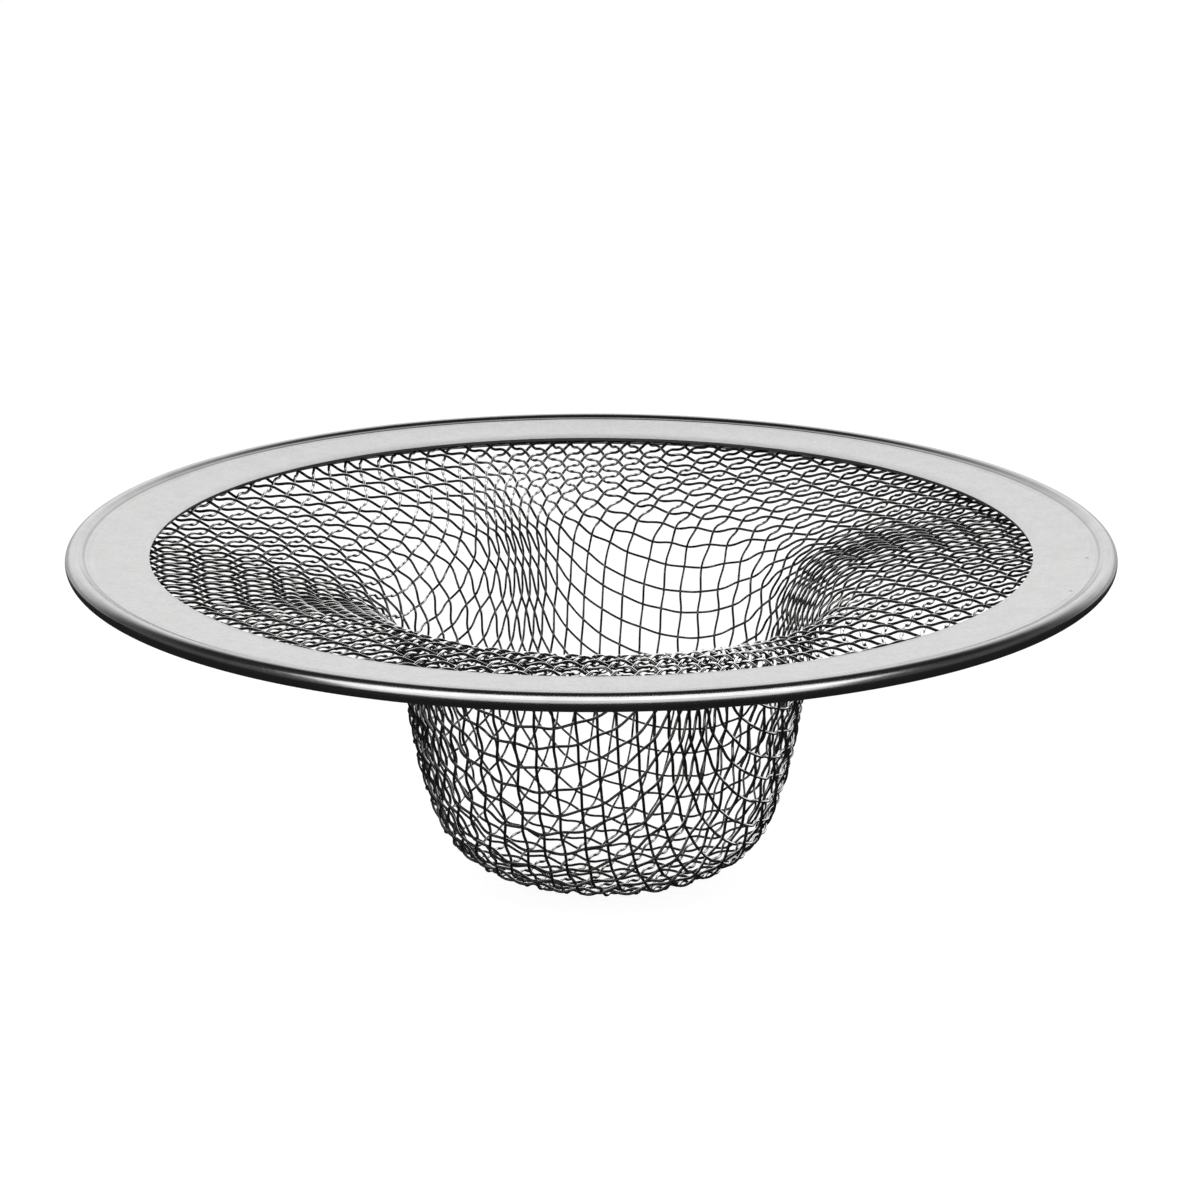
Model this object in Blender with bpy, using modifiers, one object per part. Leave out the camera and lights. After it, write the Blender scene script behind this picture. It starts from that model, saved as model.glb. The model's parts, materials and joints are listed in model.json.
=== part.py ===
# Mesh sink strainer: plain-woven steel wire cloth drawn into a basket, with its cut edge held
# in the fold of a sheet-metal rim.
# Metres, +Z up. The origin is under the middle of the rim, level with the lowest wires.

from math import atan2, cos, radians, sin, tan

import bpy
import numpy as np

# Rim: one ring of sheet, folded over the cloth's edge
rim_diameter = 0.114
strainer_height = 0.0381  # from the lowest wires to the top of the bead
sheet_thickness = 0.0004
bead_radius = 0.0011  # outside of the rolled edge
flange_width = 0.0092  # from the rim's outer edge in to the lip round the mouth
lip_drop = 0.0011  # from the top of the bead down to the top of the lip
leaf_setback = 0.0042  # of the leaf folded under the cloth, behind the lip
bead_start = radians(150)  # angles round the bead, from outward towards up
bead_end = radians(-76)

# Cloth: the wires and how they cross
wire_diameter = 0.00035
crossing_gap = 0.00015  # between two wires where one passes over the other
wires_beside_middle = 13  # on each side of the two that cross at the centre
edge_gap_share = 0.3  # of the pitch, from the outermost wires to the rim's mouth
weave_turn = radians(-20)  # about +Z
hem_grip = 0.0054  # how far the wires reach in under the flange
hem_clearance = 0.00015  # between the wires and the sheet

# Basket: the drawn cloth, from the centre outwards. Slopes are above level.
basket_offset = 0.00145  # along +X, from the middle of the rim
bottom_bulge_radius = 0.052
corner_radius = 0.0093
wall_bulge_radius = 0.043
shoulder_radius = 0.0085
mouth_bend_radius = 0.045  # of the wide bend between the shoulder and the funnel
bottom_edge_slope = radians(13)
wall_foot_slope = radians(68)
wall_top_slope = radians(80.5)
shoulder_end_slope = radians(18)
funnel_slope = radians(5)

# How finely the shapes are divided
rim_steps = 72
bead_steps = 9
chord_slack = 0.00012  # a wire is divided between crossings where the cloth bends away by more
newton_steps = 12
probe_share = 0.001  # of the pitch, for the slopes in the search for a crossing

steel_metallic = 1.0
rim_colour = (0.72, 0.72, 0.71, 1.0)
rim_roughness = 0.32
wire_colour = (0.55, 0.55, 0.54, 1.0)
wire_roughness = 0.25

# What follows from the sizes above. A point of a section is a radius and a height.
wire_radius = wire_diameter / 2
weave_lift = (wire_diameter + crossing_gap) / 2  # of a crossing wire from the cloth's middle
cloth_half_thickness = weave_lift + wire_radius
half_sheet = sheet_thickness / 2
bead_middle_radius = bead_radius - half_sheet
bead_centre = np.array((rim_diameter / 2 - bead_radius, strainer_height - bead_radius))
mouth_radius = rim_diameter / 2 - flange_width
lip = np.array((mouth_radius, strainer_height - lip_drop - half_sheet))


def bead_point(angle):
    return bead_centre + bead_middle_radius * np.array((cos(angle), sin(angle)))


flange_rise = (bead_point(bead_start) - lip)[1] / (bead_point(bead_start) - lip)[0]
cloth_end_radius = mouth_radius + hem_grip
cloth_end_height = lip[1] + hem_grip * flange_rise - half_sheet - hem_clearance - cloth_half_thickness
leaf_inner_radius = mouth_radius + leaf_setback
cloth_over_leaf = cloth_end_height - (cloth_end_radius - leaf_inner_radius) * tan(funnel_slope)
leaf_height = cloth_over_leaf - cloth_half_thickness - hem_clearance - half_sheet


def rim_outline():
    # The middle of the folded sheet, from the lip out along the flange, round the bead and back
    # in under the cloth.
    bead = [bead_point(angle) for angle in np.linspace(bead_start, bead_end, bead_steps + 1)]
    fall = bead[-1][1] - leaf_height
    leaf_outer_radius = bead[-1][0] - fall * tan(-bead_end)
    leaf = [(leaf_outer_radius, leaf_height), (leaf_inner_radius, leaf_height)]
    return [lip, *bead, *leaf]


def run_reach(length, start, end):
    # How far a run of the cloth's section goes out and up, as its slope changes from start to end.
    if start == end:
        return length * np.array((cos(start), sin(start)))
    return length / (end - start) * np.array((sin(end) - sin(start), cos(start) - cos(end)))


def bend(radius, start, end):
    return radius * abs(end - start), start, end


def cloth_section():
    # The middle surface of the cloth as runs from its centre to its edge, each with its length
    # and the slopes at its ends. The wall and the funnel take the lengths that end the cloth in
    # the hem.
    below_wall = [
        bend(bottom_bulge_radius, 0, bottom_edge_slope),
        bend(corner_radius, bottom_edge_slope, wall_foot_slope),
        bend(wall_bulge_radius, wall_foot_slope, wall_top_slope),
    ]
    above_wall = [
        bend(shoulder_radius, wall_top_slope, shoulder_end_slope),
        bend(mouth_bend_radius, shoulder_end_slope, funnel_slope),
    ]
    cloth_end = np.array((cloth_end_radius, cloth_end_height - cloth_half_thickness))
    missing = cloth_end - sum(run_reach(*run) for run in below_wall + above_wall)
    directions = [run_reach(1, slope, slope) for slope in (wall_top_slope, funnel_slope)]
    wall_length, funnel_length = np.linalg.solve(np.column_stack(directions), missing)
    wall = (wall_length, wall_top_slope, wall_top_slope)
    funnel = (funnel_length, funnel_slope, funnel_slope)
    return [*below_wall, wall, *above_wall, funnel]


section = cloth_section()
cloth_reach = sum(length for length, _, _ in section)
funnel_foot_radius = sum(run_reach(*run) for run in section[:-1])[0]
mouth_reach = cloth_reach - hem_grip / cos(funnel_slope)
weave_pitch = mouth_reach / (wires_beside_middle + edge_gap_share)


def section_at(distance):
    # Radius, height and slope of the cloth at this distance along it from its centre.
    place = np.array((0, cloth_half_thickness))
    for length, start, end in section[:-1]:
        if distance < length:
            slope = start + (end - start) * distance / length
            return (*(place + run_reach(distance, start, slope)), slope)
        place = place + run_reach(length, start, end)
        distance -= length
    return (*(place + run_reach(distance, funnel_slope, funnel_slope)), funnel_slope)


def surface_point(flat):
    # The point of the drawn cloth for a complex number, whose size is the distance along the
    # cloth from its centre, and whose angle is the direction.
    radius, height, _ = section_at(abs(flat))
    direction = flat / abs(flat)
    return np.array((radius * direction.real, radius * direction.imag, height))


def next_crossing(guess, neighbours):
    # The place one pitch away from both neighbours, by Newton's method.
    corners = [surface_point(flat) for flat in neighbours]
    probe = weave_pitch * probe_share

    def misses(flat):
        here = surface_point(flat)
        return np.array([np.linalg.norm(here - corner) - weave_pitch for corner in corners])

    for _ in range(newton_steps):
        miss = misses(guess)
        slopes = [(misses(guess + step) - miss) / probe for step in (probe, probe * 1j)]
        guess -= complex(*np.linalg.solve(np.column_stack(slopes), miss))
    return guess


def drape():
    # The crossings over a quarter of the cloth, by the numbers of their two wires from the middle.
    # Wires don't stretch, so neighbouring crossings stay one pitch apart, and the cloth takes its
    # shape by shearing between the two wires that run through the centre.
    furthest = cloth_reach + weave_pitch
    last = wires_beside_middle + 1
    quarter = {}
    for number in range(last + 1):
        quarter[number, 0] = complex(number * weave_pitch, 0)
        quarter[0, number] = complex(0, number * weave_pitch)
    for warp in range(1, last + 1):
        for weft in range(1, last + 1):
            neighbours = [quarter.get((warp - 1, weft)), quarter.get((warp, weft - 1))]
            if None in neighbours or min(map(abs, neighbours)) > furthest:
                continue
            guess = sum(neighbours) - quarter[warp - 1, weft - 1]
            quarter[warp, weft] = next_crossing(guess, neighbours)
    return quarter


def cloth_point(flat, lift):
    # A point at this lift from the cloth's middle surface, turned with the weave and moved with
    # the basket, whose offset fades out across the funnel.
    radius, height, slope = section_at(abs(flat))
    angle = atan2(flat.imag, flat.real) + weave_turn
    moved_share = min(1, max(0, (mouth_radius - radius) / (mouth_radius - funnel_foot_radius)))
    radius -= lift * sin(slope)
    across = np.array((radius * cos(angle) + basket_offset * moved_share, radius * sin(angle)))
    return np.array((*across, height + lift * cos(slope)))


def wire_route(crossings):
    # A wire's points from one edge of the cloth to the other. Each crossing has a side, which is
    # 1 where the wire passes over and -1 where it passes under.
    points = []
    for (flat, side), (next_flat, next_side) in zip(crossings, crossings[1:]):
        near, far = abs(flat), abs(next_flat)
        if min(near, far) > cloth_reach:
            continue
        start = cloth_point(flat, side * weave_lift)
        end = cloth_point(next_flat, next_side * weave_lift)
        middle = cloth_point((flat + next_flat) / 2, 0)
        if max(near, far) > cloth_reach:
            edge = start + (end - start) * (cloth_reach - near) / (far - near)
            points += [edge] if near > cloth_reach else [start, edge]
        elif np.linalg.norm(middle - (start + end) / 2) > chord_slack:
            points += [start, middle]
        else:
            points.append(start)
    return points


def steel(name, colour, roughness):
    material = bpy.data.materials.new(name)
    material.use_nodes = True
    shader = material.node_tree.nodes["Principled BSDF"]
    shader.inputs["Base Color"].default_value = colour
    shader.inputs["Metallic"].default_value = steel_metallic
    shader.inputs["Roughness"].default_value = roughness
    return material


def add_rim(collection):
    mesh = bpy.data.meshes.new("folded_rim")
    outline = rim_outline()
    corners = [(radius, 0, height) for radius, height in outline]
    mesh.from_pydata(corners, [(corner, corner + 1) for corner in range(len(corners) - 1)], [])
    mesh.materials.append(steel("rim_steel", rim_colour, rim_roughness))
    rim = bpy.data.objects.new("folded_rim", mesh)
    collection.objects.link(rim)
    turn = rim.modifiers.new("turn", "SCREW")
    turn.steps = turn.render_steps = rim_steps
    turn.use_merge_vertices = True
    turn.merge_threshold = 0.00001
    turn.use_smooth_shade = True
    thicken = rim.modifiers.new("thicken", "SOLIDIFY")
    thicken.thickness = sheet_thickness
    thicken.offset = 0
    thicken.use_even_offset = True


def add_wire(collection, name, points):
    curve = bpy.data.curves.new(name, "CURVE")
    curve.dimensions = "3D"
    curve.bevel_depth = wire_radius
    curve.bevel_resolution = 0
    curve.use_fill_caps = True
    curve.materials.append(steel(f"{name}_steel", wire_colour, wire_roughness))
    spline = curve.splines.new("POLY")
    spline.points.add(len(points) - 1)
    for spline_point, point in zip(spline.points, points):
        spline_point.co = (*point, 1)
    collection.objects.link(bpy.data.objects.new(name, curve))


def add_cloth(collection):
    quarter = drape()
    last = wires_beside_middle + 1

    def crossing(warp, weft, over):
        # Any crossing is a mirror image of one in the quarter. The wires take turns on top.
        flat = quarter.get((abs(warp), abs(weft)))
        if flat is None:
            return []
        side = 1 if (warp + weft) % 2 == over else -1
        return [(complex(flat.real * np.sign(warp), flat.imag * np.sign(weft)), side)]

    for number in range(-wires_beside_middle, wires_beside_middle + 1):
        label = f"wire_{number + wires_beside_middle + 1:02d}"
        warp = sum((crossing(number, other, 0) for other in range(-last, last + 1)), [])
        weft = sum((crossing(other, number, 1) for other in range(-last, last + 1)), [])
        add_wire(collection, f"warp_{label}", wire_route(warp))
        add_wire(collection, f"weft_{label}", wire_route(weft))


for leftover in list(bpy.data.objects):
    bpy.data.objects.remove(leftover)
strainer = bpy.data.collections.new("mesh_sink_strainer")
bpy.context.scene.collection.children.link(strainer)
add_rim(strainer)
add_cloth(strainer)
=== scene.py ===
import json
from math import atan, cos, pi, radians, sin, tan

import bpy
import numpy as np
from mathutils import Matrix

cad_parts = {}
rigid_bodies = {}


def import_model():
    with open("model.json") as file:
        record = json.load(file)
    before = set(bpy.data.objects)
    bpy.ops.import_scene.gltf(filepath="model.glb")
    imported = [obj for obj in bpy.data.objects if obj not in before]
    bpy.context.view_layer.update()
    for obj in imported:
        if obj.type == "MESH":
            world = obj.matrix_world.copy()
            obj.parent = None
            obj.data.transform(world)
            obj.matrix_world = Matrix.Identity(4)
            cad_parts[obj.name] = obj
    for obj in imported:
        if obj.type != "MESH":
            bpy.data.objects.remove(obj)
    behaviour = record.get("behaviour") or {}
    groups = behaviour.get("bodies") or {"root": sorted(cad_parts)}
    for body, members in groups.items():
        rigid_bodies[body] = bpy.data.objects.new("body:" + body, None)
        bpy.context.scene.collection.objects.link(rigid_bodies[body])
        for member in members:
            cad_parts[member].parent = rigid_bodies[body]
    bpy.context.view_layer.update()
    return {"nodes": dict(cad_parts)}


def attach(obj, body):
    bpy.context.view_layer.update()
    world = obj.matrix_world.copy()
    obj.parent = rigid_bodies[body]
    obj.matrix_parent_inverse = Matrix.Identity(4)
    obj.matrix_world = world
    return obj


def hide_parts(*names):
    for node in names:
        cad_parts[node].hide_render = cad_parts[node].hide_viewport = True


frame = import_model()
mm = 0.001
print("frame loaded:", len(frame["nodes"]), "CAD nodes")


class Signal:
    # one output socket, so that sums on values can be written as plain sums
    def __init__(self, nodes, socket):
        self.nodes = nodes
        self.socket = socket

    def __add__(self, other):
        return self.nodes.math("ADD", self, other)

    def __sub__(self, other):
        return self.nodes.math("SUBTRACT", self, other)

    def __rsub__(self, other):
        return self.nodes.math("SUBTRACT", other, self)

    def __mul__(self, other):
        return self.nodes.math("MULTIPLY", self, other)

    def __truediv__(self, other):
        return self.nodes.math("DIVIDE", self, other)

    __radd__ = __add__
    __rmul__ = __mul__


class Nodes:
    # adds nodes to one tree: their settings first, then the values or links of their sockets
    def __init__(self, tree):
        self.tree = tree

    def add(self, kind, settings=None, inputs=None, output=0):
        node = self.tree.nodes.new(kind)
        for name, value in (settings or {}).items():
            setattr(node, name, value)
        for name, value in (inputs or {}).items():
            self.feed(node.inputs[name], value)
        return Signal(self, node.outputs[output]) if node.outputs else node

    def feed(self, socket, value):
        if isinstance(value, Signal):
            self.tree.links.new(value.socket, socket)
        else:
            socket.default_value = value

    def math(self, operation, *values):
        return self.add("ShaderNodeMath", {"operation": operation}, dict(enumerate(values)))

    def vector(self, operation, *values, output="Vector"):
        return self.add("ShaderNodeVectorMath", {"operation": operation}, dict(enumerate(values)), output)

    def smooth(self, value, low, high, newLow=0, newHigh=1):
        return self.add("ShaderNodeMapRange", {"interpolation_type": "SMOOTHSTEP"},
                        {"Value": value, "From Min": low, "From Max": high,
                         "To Min": newLow, "To Max": newHigh})

    def noise(self, place, scale, detail, roughness):
        return self.add("ShaderNodeTexNoise", None,
                        {"Vector": place, "Scale": scale, "Detail": detail, "Roughness": roughness})

    def steelGrey(self, shade, blue):
        return self.add("ShaderNodeCombineColor", None, {0: shade, 1: shade, 2: shade * blue})


def newMaterial(name):
    material = bpy.data.materials.new(name)
    material.use_nodes = True
    return material, Nodes(material.node_tree), material.node_tree.nodes["Principled BSDF"].inputs


def emptyNodes(owner):
    owner.use_nodes = True
    owner.node_tree.nodes.clear()
    return Nodes(owner.node_tree)


def addObject(name, data):
    made = bpy.data.objects.new(name, data)
    bpy.context.scene.collection.objects.link(made)
    return made


def plainMesh(holder, name):
    # the evaluated shape as a mesh of its own, with no modifier left
    ready = holder.evaluated_get(bpy.context.evaluated_depsgraph_get())
    mesh = bpy.data.meshes.new_from_object(ready)
    mesh.name = name
    bpy.data.objects.remove(holder)
    return addObject(name, mesh)


def finishPiece(piece, nodeNames):
    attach(piece, "root")
    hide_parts(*nodeNames)
    triangles = sum(len(face.vertices) - 2 for face in piece.data.polygons)
    print(piece.name, "has", triangles, "triangles")


def sectionReach(length, start, end):
    # how far out and up a run of this length goes while its slope turns from start to end
    steps = 400
    slopes = np.radians(start + (end - start) * (np.arange(steps) + 0.5) / steps)
    return length * np.array((np.cos(slopes).mean(), np.sin(slopes).mean()))


def followSlopes(start, lengths, slopes, steps):
    # points along a path whose slope turns evenly along each run, as distance, outward, up and slope
    marks = np.concatenate(([0], np.cumsum(lengths)))
    distance = np.linspace(0, marks[-1], steps + 1)
    slope = np.interp(distance, marks, np.radians(slopes))
    middle = np.interp((distance[1:] + distance[:-1]) / 2, marks, np.radians(slopes))
    step = distance[1]
    outward = start[0] + step * np.concatenate(([0], np.cumsum(np.cos(middle))))
    up = start[1] + step * np.concatenate(([0], np.cumsum(np.sin(middle))))
    return distance, outward, up, slope


rimSizes = {  # the middle of the folded sheet, mm and degrees above level, from its inner edge outwards
    "sheet": 0.4,
    "lipSlope": 14,  # how steeply the inner edge starts, so that it turns down to the cloth
    "lipRadius": 7,
    "innerSlope": 1.5,
    "outerSlope": 3.5,
    "flangeWidth": 5.15,
    "grooveRadius": 2.2,
    "grooveSlope": 30,
    "beadRadius": 0.83,
    "beadCentre": (55.97, 37.06),
    "leafSlope": -166,  # under the cloth, on the way back in
    "leafRun": 2.45,
    "leafBend": 1.2,
    "leafInnerRadius": 52,
    "facesAlong": [6, 10, 5, 26, 3, 4, 4],  # lip, flange, groove, bead, leaf, its bend and its flat ring
    "facesAround": 320,
    "leafEdgeFaces": 6,
    "holdBack": 0.08,  # of the sheet, from the cut edge to the line that keeps it crisp when shaded smooth
    "holdIn": 0.85,  # of half the sheet, out to such lines on the cut edge itself
    "pathSteps": (8000, 9000),  # of the first layout, and of the one that is used
}

rimFinish = {
    "satinEnd": (53.9, 54.3),  # mm from the axis, where the satin flange gives way to the polished bead
    "crease": (54.75, 54.95, 55.25),  # its start, its deepest line and its end
    "cutEdge": (0.12, 0.16, 0.05),  # mm: the painted shade along the lip's cut edge, dark to so far out, faded by so far out, dark from so far down
    "cloud": (90, 4, 0.6),  # scale, detail and roughness of each pattern
    "stain": (420, 2, 0.6),
    "grain": (2600, 3, 0.6),
    "lines": (1, 3, 0.6),
    "linesAcross": 9,  # scale of the polishing lines, per mm of the section
    "linesAlong": 60,  # and per metre along the rim
    "shade": 0.5,
    "satinShade": 0.29,  # what the satin adds to the shade, and then how strongly each pattern changes it
    "grainShade": 0.3,
    "cloudShade": 0.25,
    "stainShade": 0.12,
    "lineShade": 0.4,
    # painted shade: how much darker the cut edge is painted, for the shade in the gap where the lip covers the
    # cloth
    "cutEdgePaintedShade": 0.8,
    # painted shade: how much darker the crease between flange and bead is painted, for the shade in that fold
    "creasePaintedShade": 0.35,
    "blue": 0.995,  # against red and green
    "satinRoughness": 0.38,
    "cloudRoughness": 0.2,
    "beadRoughness": 0.22,
    "lineRoughness": 0.14,
    "satinScatter": 0.4,  # share of the light that the rough satin face scatters
    "grainRelief": 0.6,
    "lineRelief": 0.5,
    "creaseRelief": 2.5,
    "reliefStrength": 0.25,
    "reliefHeight": 0.04,  # mm
    "specks": [(53.4, -5.4), (50.6, -18.3)],  # mm, places of the small marks on the flange
    "speckRadii": (0.1, 0.28),  # mm, the dark middle and the faded edge
    "speckShade": 0.35,
}


def rimOutline():
    lip, inner, outer = rimSizes["lipSlope"], rimSizes["innerSlope"], rimSizes["outerSlope"]
    groove, leaf = rimSizes["grooveSlope"], rimSizes["leafSlope"]
    lengths = [
        rimSizes["lipRadius"] * radians(lip - inner),
        rimSizes["flangeWidth"],
        rimSizes["grooveRadius"] * radians(groove - outer),
        rimSizes["beadRadius"] * radians(groove - leaf),
        rimSizes["leafRun"],
        rimSizes["leafBend"] * radians(180 + leaf),
    ]
    slopes = [lip, inner, outer, groove, leaf, leaf, -180]
    firstSteps, pathSteps = rimSizes["pathSteps"]
    # the bead's middle is known, so the path is laid out once from nothing and then moved there
    distance, outward, up, slope = followSlopes((0, 0), lengths, slopes, firstSteps)
    beadStart = np.searchsorted(distance, sum(lengths[:3]))
    beadAngle = slope[beadStart] - pi / 2
    centre = (outward[beadStart] + rimSizes["beadRadius"] * cos(beadAngle),
              up[beadStart] + rimSizes["beadRadius"] * sin(beadAngle))
    shift = np.array(rimSizes["beadCentre"]) - centre
    flatRing = outward[-1] + shift[0] - rimSizes["leafInnerRadius"]
    lengths, slopes = lengths + [flatRing], slopes + [-180]
    distance, outward, up, slope = followSlopes(shift, lengths, slopes, pathSteps)

    marks = np.concatenate(([0], np.cumsum(lengths)))
    stops = [np.linspace(start, end, faces, endpoint=False)
             for start, end, faces in zip(marks, marks[1:], rimSizes["facesAlong"])]
    stops = np.unique(np.concatenate([[0, rimSizes["holdBack"] * rimSizes["sheet"]]] + stops + [marks[-1:]]))
    outward, up, slope = (np.interp(stops, distance, values) for values in (outward, up, slope))
    half = rimSizes["sheet"] / 2
    side = half * np.stack((-np.sin(slope), np.cos(slope)))
    middle = np.stack((outward, up))
    angles = slope[-1] + pi / 2 - np.linspace(0, pi, rimSizes["leafEdgeFaces"] + 1)[1:-1]
    leafEdge = middle[:, -1:] + half * np.stack((np.cos(angles), np.sin(angles)))
    cutEdge = middle[:, :1] + side[:, :1] * (-rimSizes["holdIn"], rimSizes["holdIn"])
    return np.concatenate((middle + side, leafEdge, (middle - side)[:, ::-1], cutEdge), axis=1).T


def rimSteel():
    look = rimFinish
    material, nodes, shader = newMaterial("rim steel")
    place = nodes.add("ShaderNodeTexCoord", output="Object")
    across = nodes.vector("MULTIPLY", place, (1, 1, 0))
    radius = nodes.vector("LENGTH", across, output="Value") / mm
    height = nodes.add("ShaderNodeSeparateXYZ", None, {0: place}, "Z") / mm
    satin = 1 - nodes.smooth(radius, *look["satinEnd"])
    # the crease between flange and bead: painted shade in the colour, and a real groove in the relief
    start, deepest, end = look["crease"]
    crease = nodes.smooth(radius, start, deepest) * (1 - nodes.smooth(radius, deepest, end))
    cloud, stain, grain = (nodes.noise(place, *look[name]) - 0.5 for name in ("cloud", "stain", "grain"))
    # the polishing lines on the bead run round it, so they hardly change along the rim
    section = nodes.add("ShaderNodeCombineXYZ", None,
                        {0: radius * look["linesAcross"], 1: height * look["linesAcross"]})
    along = (look["linesAlong"], look["linesAlong"], 0)
    lines = nodes.noise(nodes.vector("MULTIPLY_ADD", across, along, section), *look["lines"]) - 0.5
    lipRadius, lipHeight = rimOutline()[0]
    # painted shade: the lip's cut edge is darkened, standing in for the shade in the gap between the lip and
    # the cloth
    dark, faded, below = look["cutEdge"]
    cutEdge = 1 - nodes.smooth(radius, lipRadius + dark, lipRadius + faded)
    cutEdge = cutEdge * (1 - nodes.smooth(height, lipHeight - below, lipHeight))

    shade = look["shade"] + satin * (look["satinShade"] + grain * look["grainShade"])
    shade = shade + cloud * look["cloudShade"] + stain * look["stainShade"]
    shade = shade + lines * (1 - satin) * look["lineShade"]
    # painted shade on the cut edge and in the crease
    shade = shade * (1 - cutEdge * look["cutEdgePaintedShade"]) * (1 - crease * look["creasePaintedShade"])
    dark, faded = look["speckRadii"]
    for x, y in look["specks"]:
        away = nodes.vector("DISTANCE", across, (x * mm, y * mm, 0), output="Value")
        shade = shade * nodes.smooth(away, dark * mm, faded * mm, look["speckShade"], 1)
    nodes.feed(shader["Base Color"], nodes.steelGrey(shade, look["blue"]))
    roughness = satin * (look["satinRoughness"] + cloud * look["cloudRoughness"])
    roughness = roughness + (1 - satin) * (look["beadRoughness"] + lines * look["lineRoughness"])
    nodes.feed(shader["Roughness"], roughness)
    relief = grain * satin * look["grainRelief"] + lines * (1 - satin) * look["lineRelief"]
    relief = relief + crease * look["creaseRelief"]
    bump = nodes.add("ShaderNodeBump", None, {"Strength": look["reliefStrength"],
                                              "Distance": look["reliefHeight"] * mm, "Height": relief})
    nodes.feed(shader["Normal"], bump)
    nodes.feed(shader["Metallic"], 1 - satin * look["satinScatter"])
    return material


def buildRim():
    mesh = bpy.data.meshes.new("rim")
    corners = [(outward * mm, 0, up * mm) for outward, up in rimOutline()]
    mesh.from_pydata(corners, [(at, (at + 1) % len(corners)) for at in range(len(corners))], [])
    mesh.materials.append(rimSteel())
    holder = addObject("rim_holder", mesh)
    turn = holder.modifiers.new("turn", "SCREW")
    turn.steps = turn.render_steps = rimSizes["facesAround"]
    turn.use_merge_vertices = True
    turn.merge_threshold = 0.001 * mm
    turn.use_smooth_shade = True
    turn.use_normal_calculate = True
    return plainMesh(holder, "rim")


finishPiece(buildRim(), ["folded_rim"])


basket = {  # section of the cloth's middle, mm and degrees above level, from the centre outwards
    "bottomBulgeRadius": 52,
    "bottomSlope": 13,
    "cornerRadius": 9.3,
    "footSlope": 68,
    "wallBulgeRadius": 43,
    "wallSlope": 80.5,
    "shoulderRadius": 8.5,
    "mouthSlope": 18,  # where the shoulder gives way to the wide bend into the funnel
    "mouthBendRadius": 45,
    "funnelSlope": 5,
    "edgeRadius": 53.2,  # where the cloth ends, inside the rim's fold
    "edgeHeight": 36.58,
    "offset": 1.45,  # of the basket along +X, fading out across the funnel
    "offsetEnd": 47.8,  # mm from the axis, where it has faded out
    "sectionSteps": 6000,
}

weave = {
    "wireDiameter": 0.33,  # mm
    "thinnedTo": 0.8,  # share of the diameter that the draw has left at the back of the basket
    "thinnedBelow": (1, 6),  # mm under the cloth's edge between which it takes hold
    "thinnedBehind": (-12, 18),  # mm along Y between which it takes hold
    "crimp": 0.26,  # mm, how far a wire swings to each side of the cloth's middle
    "pitch": 2.35,  # mm
    "drawnAt": [0, 14, 22, 38, 48, 90],  # mm along the cloth from its centre
    "drawnDown": [0, 0.02, 0.12, 0.12, 0, 0],  # shares by which the draw has pulled it longer there
    "drawnAcross": [0, 0, 0, 0, -0.02, -0.02],
    "turn": -20,  # degrees about +Z
    "twistAt": [6, 16, 48, 75],  # mm along the cloth from its centre
    "backTwist": [0, -3, -3, -10],  # more turn at the back there, degrees
    "backTwistPower": 1.5,  # how much it keeps to the back
    "rightGrowth": 0.0006,  # per mm, how the cells widen towards +X
    "wiresBesideMiddle": 36,
    "samplesPerCell": 5,
    "sides": 8,
    "leastReach": 2.6,  # mm inside the cloth's edge that a wire has to reach
    "netMargin": 5,  # cells past the edge that the net is worked out for
    "sectionMargin": 7,  # and that the section goes on for
    "spacingScatter": 0.035,  # share of the pitch
    "wanderRounds": 3,  # of evening out between neighbours
    "wanderDivisor": 2.2,  # of the sum of three neighbours in each
    "seed": 4,
}

wireFinish = {
    "cloud": (260, 3, 0.5),  # scale, detail and roughness of each pattern
    "wear": (900, 3, 0.5),
    "shade": 0.22,
    "tintShade": 0.05,  # how strongly the wires differ, and the cloud changes them
    "cloudShade": 0.08,
    "blue": 0.985,  # against red and green
    "roughness": 0.05,
    "wearRoughness": 0.08,
}


def clothSection():
    bottom, foot, wall, mouth, funnel = (basket[name + "Slope"]
                                         for name in ("bottom", "foot", "wall", "mouth", "funnel"))
    bends = [("bottomBulgeRadius", 0, bottom), ("cornerRadius", bottom, foot),
             ("wallBulgeRadius", foot, wall), ("shoulderRadius", wall, mouth),
             ("mouthBendRadius", mouth, funnel)]
    runs = [(basket[radius] * radians(abs(end - start)), start, end) for radius, start, end in bends]
    low = weave["crimp"] + weave["wireDiameter"] / 2  # so that the lowest wires stand on the ground
    # the straight wall and the straight funnel take up what the bends leave over
    edge = np.array((basket["edgeRadius"], basket["edgeHeight"] - low))
    missing = edge - sum(sectionReach(*run) for run in runs)
    ways = np.column_stack([sectionReach(1, wall, wall), sectionReach(1, funnel, funnel)])
    wallLength, funnelLength = np.linalg.solve(ways, missing)
    lengths = [run[0] for run in runs]
    pastEdge = weave["sectionMargin"] * weave["pitch"]
    lengths = lengths[:3] + [wallLength] + lengths[3:] + [funnelLength, pastEdge]
    slopes = [0, bottom, foot, wall, wall, mouth, funnel, funnel, funnel]
    table = followSlopes((0, low), lengths, slopes, basket["sectionSteps"])
    return table, sum(lengths[:-1]), sum(lengths[:-2])


sectionTable, clothReach, funnelStart = clothSection()


def sectionAt(distance):
    return [np.interp(distance, sectionTable[0], column) for column in sectionTable[1:]]


tiny = 1e-9  # keeps a length that is divided by from being nothing


def wayOf(flat):
    # a place on the cloth is a complex number: its size is the distance along the cloth from the centre
    return flat / np.maximum(np.abs(flat), tiny)


def surfacePoint(flat):
    radius, height, _ = sectionAt(np.abs(flat))
    way = wayOf(flat)
    return np.array((radius * way.real, radius * way.imag, height))


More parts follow.
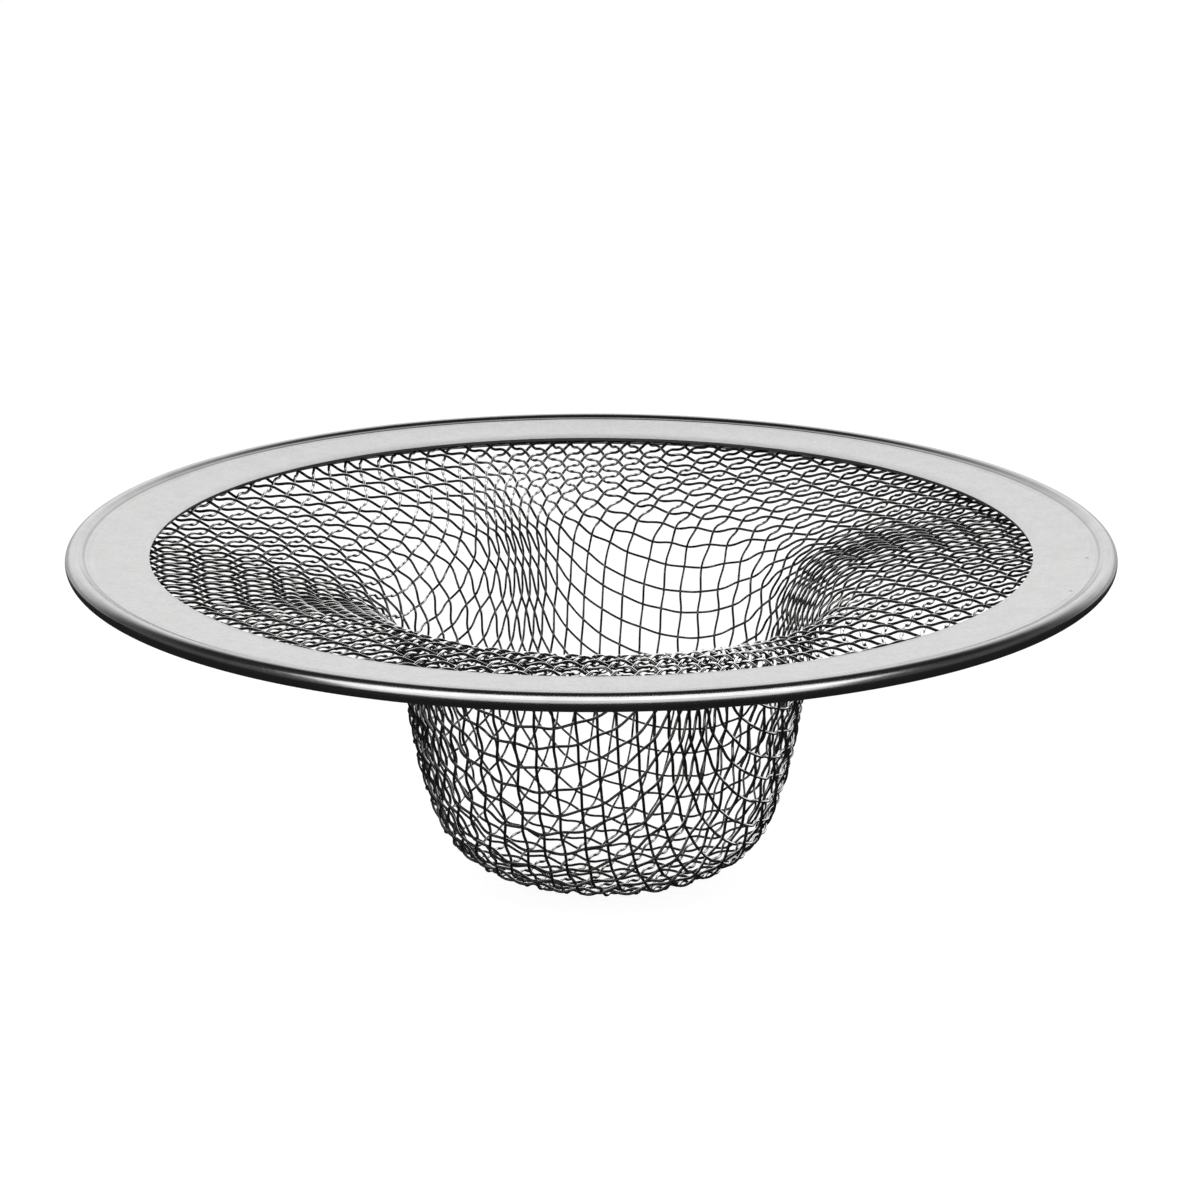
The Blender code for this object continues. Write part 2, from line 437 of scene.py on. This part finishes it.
def edgeMiss(here, corner):
    # how much longer the wire between two crossings is than the cloth has there
    span = np.linalg.norm(surfacePoint(here) - surfacePoint(corner), axis=0)
    steepness = ((np.abs(here) - np.abs(corner)) / span) ** 2
    middle = (np.abs(here) + np.abs(corner)) / 2
    down, across = (np.interp(middle, weave["drawnAt"], weave[way]) for way in ("drawnDown", "drawnAcross"))
    return span - weave["pitch"] * (1 + down * steepness + across * (1 - steepness))


def middleWire(count):
    # distances of the crossings along the two wires through the centre
    axis, settlingRounds = [0.0], 4
    for _ in range(count):
        step = weave["pitch"]
        for _ in range(settlingRounds):
            step = weave["pitch"] * (1 + np.interp(axis[-1] + step / 2, weave["drawnAt"], weave["drawnDown"]))
        axis.append(axis[-1] + step)
    return np.array(axis)


def drapeQuarter():
    # Wires hardly stretch, so each crossing stays one pitch from its neighbours, and the cloth takes the
    # basket's shape by shearing. It is found from the middle wires outwards, by one diagonal after another.
    probe, longestShift, rounds = 1e-5, 0.8, 20  # mm, mm, and how often a crossing is moved nearer its place
    count = weave["wiresBesideMiddle"] + 1
    net = np.full((count + 1, count + 1), np.nan, complex)
    net[:, 0] = middleWire(count)
    net[0, :] = 1j * middleWire(count)
    limit = clothReach + weave["netMargin"] * weave["pitch"]
    for diagonal in range(2, 2 * count + 1):
        warp = np.arange(max(1, diagonal - count), min(count, diagonal - 1) + 1)
        weft = diagonal - warp
        left, below = net[warp - 1, weft], net[warp, weft - 1]
        near = np.fmin(np.abs(left), np.abs(below)) < limit
        warp, weft, left, below = warp[near], weft[near], left[near], below[near]
        place = left + below - net[warp - 1, weft - 1]
        for _ in range(rounds):
            misses = [edgeMiss(place, corner) for corner in (left, below)]
            (a, b), (c, d) = [[(edgeMiss(place + move, corner) - miss) / probe
                               for move in (probe, probe * 1j)]
                              for corner, miss in zip((left, below), misses)]
            spread = a * d - b * c
            shift = (d * misses[0] - b * misses[1] + 1j * (a * misses[1] - c * misses[0])) / spread
            place = place - shift * np.minimum(1, longestShift / np.maximum(np.abs(shift), tiny))
        net[warp, weft] = place
    return net


def wholeNet():
    # the other three quarters are mirror images, and the spacing is then made a little uneven
    quarter = drapeQuarter()
    number = np.arange(-weave["wiresBesideMiddle"] - 1, weave["wiresBesideMiddle"] + 2)
    warp, weft = np.meshgrid(number, number, indexing="ij")
    corner = quarter[np.abs(warp), np.abs(weft)]
    net = np.sign(warp) * corner.real + 1j * np.sign(weft) * corner.imag
    chance = np.random.default_rng(weave["seed"])
    for axis in (0, 1):
        perWire = chance.normal(0, weave["spacingScatter"], len(number))
        wander = chance.normal(0, weave["spacingScatter"], net.shape)
        for _ in range(weave["wanderRounds"]):
            wander = wander + np.roll(wander, 1, 1 - axis) + np.roll(wander, -1, 1 - axis)
            wander = wander / weave["wanderDivisor"]
        shift = (perWire[:, None] if axis == 0 else perWire[None, :]) + wander
        net = net + shift * np.gradient(net, axis=axis)
    # the draw pulled the cloth a little to the left, so that its cells grow towards the right
    toRight = net * np.exp(1j * radians(weave["turn"]))
    growth = 1 + weave["rightGrowth"] * toRight.real
    return number, net * growth


def clothPoint(flat, lift=0):
    # a place on the flat cloth as x, y and z, raised off the cloth's middle by lift
    radius, height, slope = sectionAt(np.abs(flat))
    way = wayOf(flat) * np.exp(1j * radians(weave["turn"]))
    twist = np.interp(np.abs(flat), weave["twistAt"], weave["backTwist"])
    way = way * np.exp(1j * np.radians(twist * np.abs((1 + way.imag) / 2) ** weave["backTwistPower"]))
    funnelFoot, fadedOut = sectionAt(funnelStart)[0], basket["offsetEnd"]
    offset = basket["offset"] * np.clip((fadedOut - radius) / (fadedOut - funnelFoot), 0, 1)
    radius = radius - lift * np.sin(slope)
    return np.stack((radius * way.real + offset, radius * way.imag, height + lift * np.cos(slope)), axis=-1)


def curveBetween(flats, samples):
    # a smooth line through the crossings, with this many points for each cell
    before, start, end, after = flats[:-3, None], flats[1:-2, None], flats[2:-1, None], flats[3:, None]
    share = np.arange(samples) / samples
    line = start + (end - before) / 2 * share
    line = line + (before - 2.5 * start + 2 * end - after / 2) * share ** 2
    return (line + (1.5 * (start - end) + (after - before) / 2) * share ** 3).ravel()


def wireLines(flats, firstPhase):
    # one wire: its places on the flat cloth, and its phase, which grows by one from crossing to crossing
    samples = weave["samplesPerCell"]
    known = np.flatnonzero(~np.isnan(flats))
    if len(known) < 4:  # too few crossings for a smooth line
        return None
    flats, firstPhase = flats[known[0]:known[-1] + 1], firstPhase + known[0]
    line = curveBetween(flats, samples)
    phase = firstPhase + 1 + np.arange(len(line)) / samples
    inside = np.flatnonzero(np.abs(line) < clothReach)
    if len(inside) < 2 * samples or np.abs(line).min() > clothReach - weave["leastReach"]:
        return None
    ends = []
    for last, beyond in ((inside[0], inside[0] - 1), (inside[-1], inside[-1] + 1)):
        share = (clothReach - abs(line[last])) / (abs(line[beyond]) - abs(line[last]))
        ends.append([values[last] + (values[beyond] - values[last]) * share for values in (line, phase)])
    keep = slice(inside[0], inside[-1] + 1)
    return [np.concatenate(([first], values[keep], [final]))
            for first, values, final in zip(ends[0], (line, phase), ends[1])]


def wireThickness(places):
    # as a share of the wire's diameter
    (top, bottom), (front, back) = weave["thinnedBelow"], weave["thinnedBehind"]
    depth = np.clip((basket["edgeHeight"] - top - places[:, 2]) / (bottom - top), 0, 1)
    behind = np.clip((places[:, 1] - front) / (back - front), 0, 1)
    return 1 - (1 - weave["thinnedTo"]) * depth * behind


def wireTree():
    # swings each line over and under the cloth's middle, then gives it its thickness
    tree = bpy.data.node_groups.new("woven wires", "GeometryNodeTree")
    sockets = {"Geometry": "Geometry", "Wire Diameter": "Float", "Crimp": "Float", "Sides": "Int",
               "Material": "Material"}
    for name, kind in sockets.items():
        tree.interface.new_socket(name, in_out="INPUT", socket_type="NodeSocket" + kind)
    tree.interface.new_socket("Geometry", in_out="OUTPUT", socket_type="NodeSocketGeometry")
    nodes = Nodes(tree)
    inputs = tree.nodes.new("NodeGroupInput").outputs
    given = {socket.name: Signal(nodes, socket) for socket in inputs if socket.name}
    stored = {"outward": "FLOAT_VECTOR", "phase": "FLOAT", "thickness": "FLOAT"}
    outward, phase, thickness = [
        nodes.add("GeometryNodeInputNamedAttribute", {"data_type": kind}, {"Name": name})
        for name, kind in stored.items()]
    lift = given["Crimp"] * nodes.math("COSINE", phase * pi)
    swing = nodes.add("ShaderNodeVectorMath", {"operation": "SCALE"}, {0: outward, "Scale": lift})
    moved = nodes.add("GeometryNodeSetPosition", None, {"Geometry": given["Geometry"], "Offset": swing})
    curve = nodes.add("GeometryNodeMeshToCurve", None, {"Mesh": moved})
    ring = nodes.add("GeometryNodeCurvePrimitiveCircle", None,
                     {"Resolution": given["Sides"], "Radius": given["Wire Diameter"] / 2})
    solid = nodes.add("GeometryNodeCurveToMesh", None,
                      {"Curve": curve, "Profile Curve": ring, "Scale": thickness, "Fill Caps": True})
    smooth = nodes.add("GeometryNodeSetShadeSmooth", None, {"Geometry": solid, "Shade Smooth": True})
    real = nodes.add("GeometryNodeRealizeInstances", None, {"Geometry": smooth})
    done = nodes.add("GeometryNodeSetMaterial", None, {"Geometry": real, "Material": given["Material"]})
    nodes.add("NodeGroupOutput", None, {"Geometry": done})
    return tree


def wireSteel():
    look = wireFinish
    material, nodes, shader = newMaterial("drawn wire")
    place = nodes.add("ShaderNodeTexCoord", output="Object")
    tint = nodes.add("ShaderNodeAttribute", {"attribute_name": "tint"}, output="Fac")
    shade = look["shade"] + tint * look["tintShade"] + nodes.noise(place, *look["cloud"]) * look["cloudShade"]
    nodes.feed(shader["Base Color"], nodes.steelGrey(shade, look["blue"]))
    wear = nodes.noise(place, *look["wear"])
    nodes.feed(shader["Roughness"], look["roughness"] + wear * look["wearRoughness"])
    shader["Metallic"].default_value = 1
    return material


def buildWires(name, wires, tree, material):
    tintStep = 0.618034  # from wire to wire, so that neighbours always differ
    points, edges, first = [], [], 0
    columns = {"outward": [], "phase": [], "thickness": [], "tint": []}
    for number, (line, phase) in wires:
        middle = clothPoint(line)
        points.append(middle)
        edges.append(np.column_stack((np.arange(len(line) - 1), np.arange(1, len(line)))) + first)
        first += len(line)
        columns["outward"].append(clothPoint(line, 1) - middle)
        columns["phase"].append(phase)
        columns["thickness"].append(wireThickness(middle))
        columns["tint"].append(np.full(len(line), (number * tintStep) % 1))
    mesh = bpy.data.meshes.new(name + "_lines")
    mesh.from_pydata(np.concatenate(points) * mm, np.concatenate(edges), [])
    for label, values in columns.items():
        kind, field = ("FLOAT_VECTOR", "vector") if label == "outward" else ("FLOAT", "value")
        mesh.attributes.new(label, kind, "POINT").data.foreach_set(field, np.concatenate(values).ravel())
    holder = addObject(name + "_holder", mesh)
    modifier = holder.modifiers.new("weave", "NODES")
    modifier.node_group = tree
    values = {"Wire Diameter": weave["wireDiameter"] * mm, "Crimp": weave["crimp"] * mm,
              "Sides": weave["sides"], "Material": material}
    for item in tree.interface.items_tree:
        if item.in_out == "INPUT" and item.name in values:
            modifier[item.identifier] = values[item.name]
    piece = plainMesh(holder, name)
    for label in ("outward", "phase", "thickness"):
        piece.data.attributes.remove(piece.data.attributes[label])
    return piece


def buildCloth():
    numbers, net = wholeNet()
    print("cloth draped:", np.count_nonzero(~np.isnan(net)), "crossings")
    tree, steel = wireTree(), wireSteel()
    cadMiddle, cadWires = 14, 27  # the CAD's middle wire, and how many it has each way
    # the phases start one apart, so that one of two crossing wires is above where the other is below
    for kind, rows, start in (("warp", net, 0), ("weft", net.T, 1)):
        wires = [(number, wireLines(row, number + numbers[0] + start)) for number, row in zip(numbers, rows)]
        wires = [(number, wire) for number, wire in wires if wire]
        print(kind, "wires:", len(wires))
        nearWires = sum(number <= 0 for number, wire in wires)
        halves = {"near": (wires[:nearWires], range(1, cadMiddle + 1)),
                  "far": (wires[nearWires:], range(cadMiddle + 1, cadWires + 1))}
        for side, (chosen, nodeNumbers) in halves.items():
            piece = buildWires(f"{kind}_wires_{side}", chosen, tree, steel)
            finishPiece(piece, [f"{kind}_wire_{at:02d}" for at in nodeNumbers])


buildCloth()


rimAndFloor = ("rim", "floor")  # how the names of the objects start that a panel lights
wirePieces = ("warp_wires", "weft_wires")

panels = {
    # azimuth from the front, elevation of the middle over the horizon there, and reach from the middle up
    # and down to the edges, in degrees; width in metres
    "softbox": {"azimuth": 0, "elevation": 51, "reach": 21, "width": 3.2, "shade": 2, "lit": rimAndFloor},
    "softboxFoot": {"azimuth": 0, "elevation": 19.5, "reach": 10.5, "width": 3.2, "shade": 1.1,
                    "lit": rimAndFloor},
    "clothPanel": {"azimuth": 0, "elevation": 158, "reach": 22, "width": 3.1, "shade": 2.2, "lit": wirePieces},
    "leftStrip": {"azimuth": -110, "elevation": 8, "reach": 8, "width": 1.2, "shade": 3.5, "lit": wirePieces},
    "rightStrip": {"azimuth": 110, "elevation": 8, "reach": 8, "width": 1.2, "shade": 3.5, "lit": wirePieces},
}

studio = {
    "panelDistance": 1.3,  # metres
    "floorReach": 4,  # metres from the middle to each side
    "shadowShade": 0.3,  # colour of the floor on which the camera sees the shadow
    "floorGlow": 0.89,  # what lifts that floor to white
    "floorShade": 0.6,  # of the floor as the steel mirrors it
    "cardShade": 0.02,  # of the dark card that lies under and in front of the object
    "cardReach": (0.05, 0.15),  # metres behind the object between which the card gives way to the floor
    "cardSlant": 0.5,  # how far its edge runs back, for each metre to the side
    "roomShade": 0.01,
    # Below, foot and top are heights of a direction, and depth is how far it points to the back, all as
    # shares of 1. Each is the range over which a shade comes or goes.
    "backdropShade": 1.08,
    "horizonShade": 0.32,
    "backdropFoot": (0, 0.16),  # from the horizon's shade to the backdrop's
    "backdropDepth": (0.5, 0.95),
    "backdropTop": (38, 54),  # elevations, in degrees
    "frontShade": 0.9,  # of the low strip of light behind the camera
    "frontDepth": (-0.5, -0.8),
    "frontTop": (0.08, 0.16),
    "sideShade": 0.085,
    "sideTop": (0.3, 0.7),
}

view = {
    "elevation": 15.55,  # degrees above the rim's middle
    "distance": 612,  # mm
    "rimHeight": 38.1,
    "pictureWidth": 1200,  # pixels, and as high
    "focalPixels": 5633,
    "rimMiddle": (591, 540.5),  # where the middle of the rim falls, in pixels
    "sensorWidth": 36,  # mm
    "clip": (0.05, 20),  # metres
}

white = (1, 1, 1, 1)


def buildFloor():
    reach = studio["floorReach"]
    mesh = bpy.data.meshes.new("floor")
    corners = [(-reach, -reach, 0), (reach, -reach, 0), (reach, reach, 0), (-reach, reach, 0)]
    mesh.from_pydata(corners, [], [(0, 1, 2, 3)])
    floor = addObject("floor", mesh)
    material = bpy.data.materials.new("studio floor")
    nodes = emptyNodes(material)
    seen = nodes.add("ShaderNodeLightPath", output="Is Camera Ray")
    shadowed = nodes.add("ShaderNodeBsdfDiffuse", None, {"Color": (studio["shadowShade"],) * 3 + (1,)})
    glow = nodes.add("ShaderNodeEmission", None, {"Color": white, "Strength": studio["floorGlow"]})
    pale = nodes.add("ShaderNodeAddShader", None, {0: shadowed, 1: glow})
    place = nodes.add("ShaderNodeTexCoord", output="Object")
    aside, behind = (nodes.add("ShaderNodeSeparateXYZ", None, {0: place}, axis) for axis in ("X", "Y"))
    behind = behind - nodes.math("ABSOLUTE", aside) * studio["cardSlant"]
    card = 1 - nodes.smooth(behind, *studio["cardReach"])
    shade = studio["floorShade"] + card * (studio["cardShade"] - studio["floorShade"])
    mirrored = nodes.add("ShaderNodeEmission", None, {"Color": white, "Strength": shade})
    both = nodes.add("ShaderNodeMixShader", None, {0: seen, 1: mirrored, 2: pale})
    nodes.add("ShaderNodeOutputMaterial", None, {"Surface": both})
    mesh.materials.append(material)


def buildPanel(name, panel):
    distance = studio["panelDistance"]
    elevation, azimuth = radians(panel["elevation"]), radians(panel["azimuth"])
    light = bpy.data.lights.new(name, "AREA")
    light.shape = "RECTANGLE"
    light.size, light.size_y = panel["width"], 2 * distance * tan(radians(panel["reach"]))
    light.energy = panel["shade"] * light.size * light.size_y * pi  # makes its face as bright as its shade
    lamp = addObject(name, light)
    level = distance * cos(elevation)
    lamp.location = (level * sin(azimuth), -level * cos(azimuth), distance * sin(elevation))
    lamp.rotation_euler = (pi / 2 - elevation, 0, azimuth)
    lamp.visible_camera = False
    # dark flags keep the light of each panel to some of the objects
    lit = bpy.data.collections.new("lit by " + name)
    for item in bpy.data.objects:
        if item.name.startswith(panel["lit"]):
            lit.objects.link(item)
    lamp.light_linking.receiver_collection = lit


def buildWorld():
    world = bpy.data.worlds.new("studio")
    bpy.context.scene.world = world
    nodes = emptyNodes(world)
    seen = nodes.add("ShaderNodeLightPath", output="Is Camera Ray")
    way = nodes.add("ShaderNodeTexCoord", output="Generated")
    back, up = (nodes.add("ShaderNodeSeparateXYZ", None, {0: way}, axis) for axis in ("Y", "Z"))
    backdrop = nodes.smooth(up, *studio["backdropFoot"], studio["horizonShade"], studio["backdropShade"])
    backdrop = backdrop * nodes.smooth(back, *studio["backdropDepth"])
    backdrop = backdrop * (1 - nodes.smooth(up, *(sin(radians(edge)) for edge in studio["backdropTop"])))
    front = nodes.smooth(back, *studio["frontDepth"], 0, studio["frontShade"])
    front = front * (1 - nodes.smooth(up, *studio["frontTop"]))
    aside = (1 - nodes.smooth(up, *studio["sideTop"])) * studio["sideShade"]
    shade = studio["roomShade"] + backdrop + front + aside
    around = nodes.add("ShaderNodeBackground", None, {"Color": white, "Strength": shade})
    plain = nodes.add("ShaderNodeBackground", None, {"Color": white})
    both = nodes.add("ShaderNodeMixShader", None, {0: seen, 1: around, 2: plain})
    nodes.add("ShaderNodeOutputWorld", None, {"Surface": both})


def buildCamera():
    data = bpy.data.cameras.new("camera")
    data.sensor_width = view["sensorWidth"]
    data.lens = view["focalPixels"] * data.sensor_width / view["pictureWidth"]
    data.clip_start, data.clip_end = view["clip"]
    camera = addObject("camera", data)
    lookDown = radians(view["elevation"])
    camera.location = (0, -view["distance"] * cos(lookDown) * mm,
                       (view["rimHeight"] + view["distance"] * sin(lookDown)) * mm)
    pictureMiddle = view["pictureWidth"] / 2
    swing, tilt = (atan((pictureMiddle - pixel) / view["focalPixels"]) for pixel in view["rimMiddle"])
    camera.rotation_euler = (pi / 2 - lookDown - tilt, 0, -swing)
    bpy.context.scene.camera = camera


buildFloor()
for name, panel in panels.items():
    buildPanel(name, panel)
buildWorld()
buildCamera()
bpy.context.scene.view_settings.view_transform = "Standard"
print("stage set")
